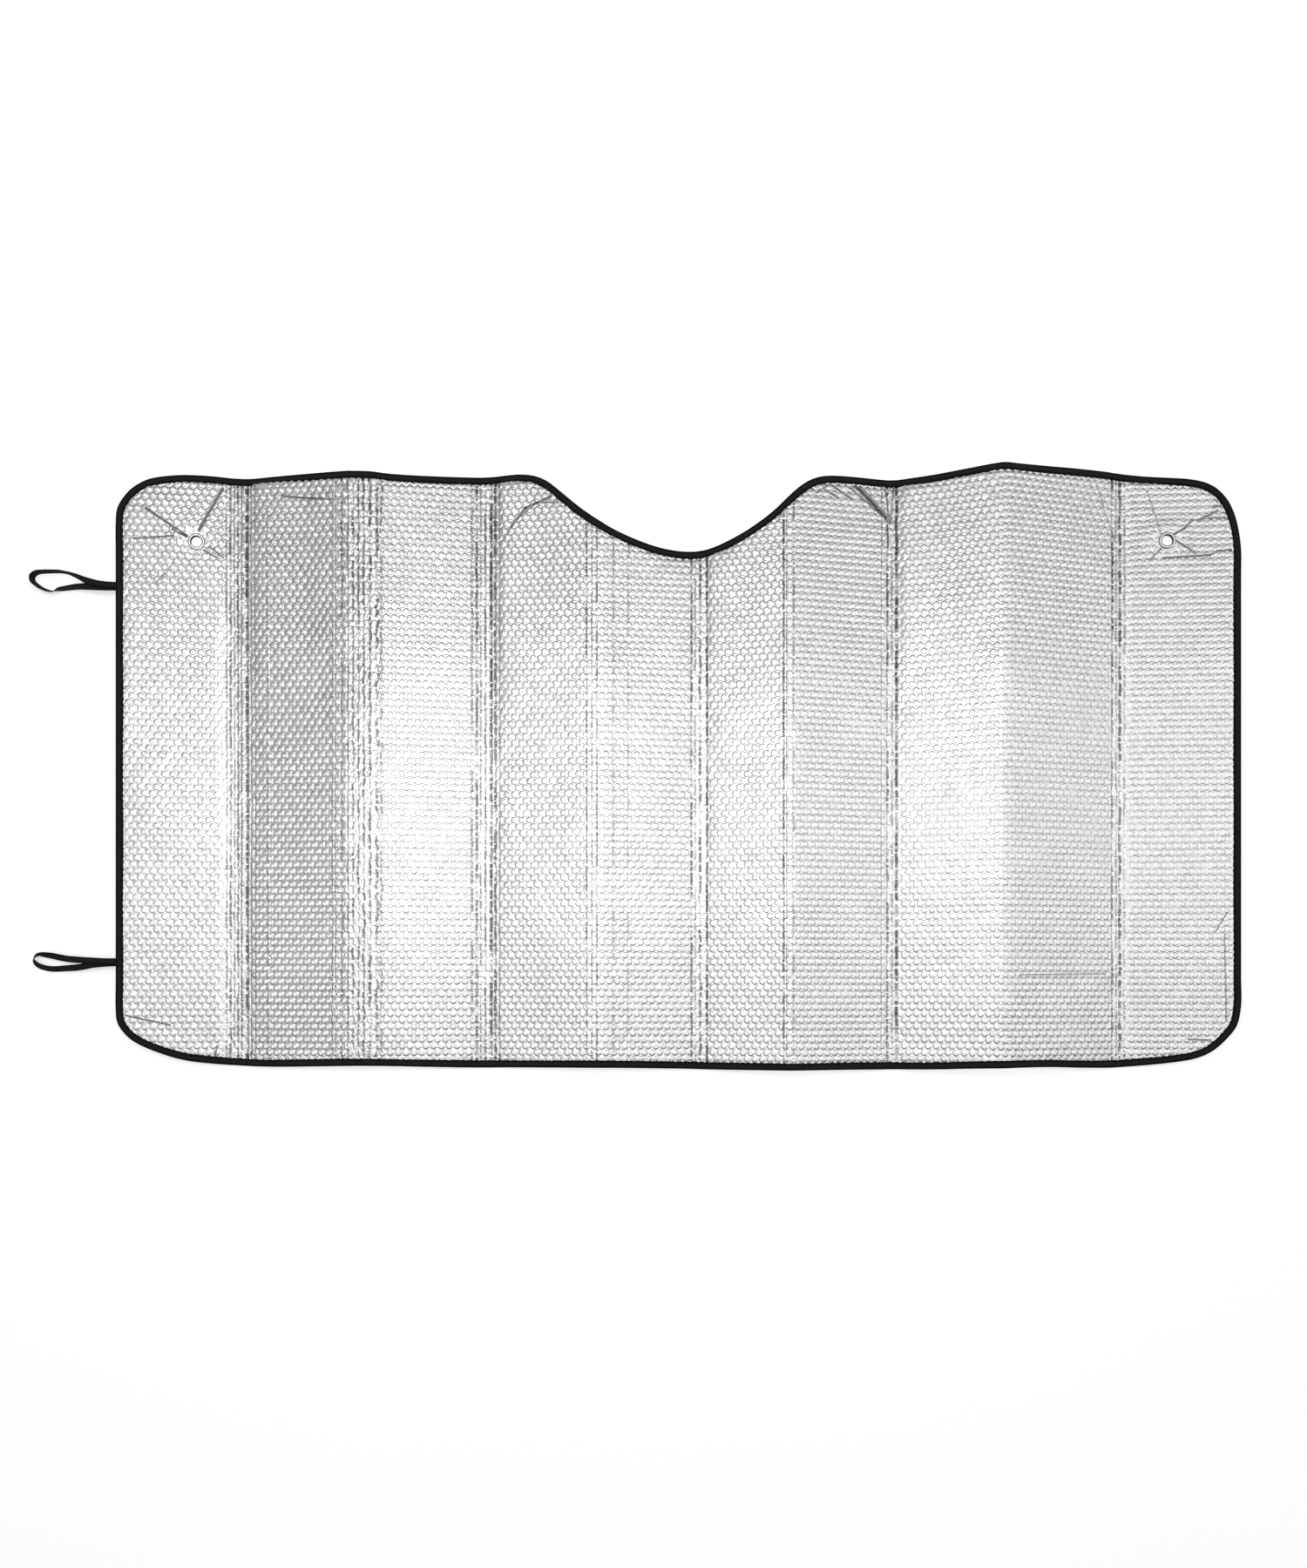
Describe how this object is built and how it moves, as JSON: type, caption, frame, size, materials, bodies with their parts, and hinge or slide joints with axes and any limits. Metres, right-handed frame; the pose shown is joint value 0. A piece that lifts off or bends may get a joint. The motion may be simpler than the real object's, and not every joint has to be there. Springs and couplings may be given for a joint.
{
  "type": "car windscreen sunshade",
  "caption": "Folding windscreen sunshade of silver bubble film, with a mirror notch, black bound edge, corner eyelets and elastic side loops.",
  "frame": {"origin": "middle of the underside of the central valley fold, half way up the shade", "axes": "+X along the shade's length, away from the elastic loops; +Y towards the edge with the mirror notch; +Z out of the front face, upwards as it lies"},
  "size_m": [1.4908, 0.7381, 0.039],
  "materials": {
    "metallised_film": "silver metallised plastic bubble film, satin, round bubbles in staggered rows",
    "binding_tape": "black woven tape, matt",
    "sewing_thread": "black twisted polyester thread",
    "elastic_band": "black flat braided elastic, ribbed along its length",
    "eyelet_metal": "nickel-plated sheet metal, soft shine"
  },
  "bodies": {
    "root": {"foil_sheet": "metallised_film", "edge_binding": "binding_tape", "front_seam_thread": "sewing_thread", "back_seam_thread": "sewing_thread", "upper_elastic_loop": "elastic_band", "lower_elastic_loop": "elastic_band", "left_eyelet": "eyelet_metal", "left_eyelet_washer": "eyelet_metal", "right_eyelet": "eyelet_metal", "right_eyelet_washer": "eyelet_metal"}
  },
  "joints": []
}
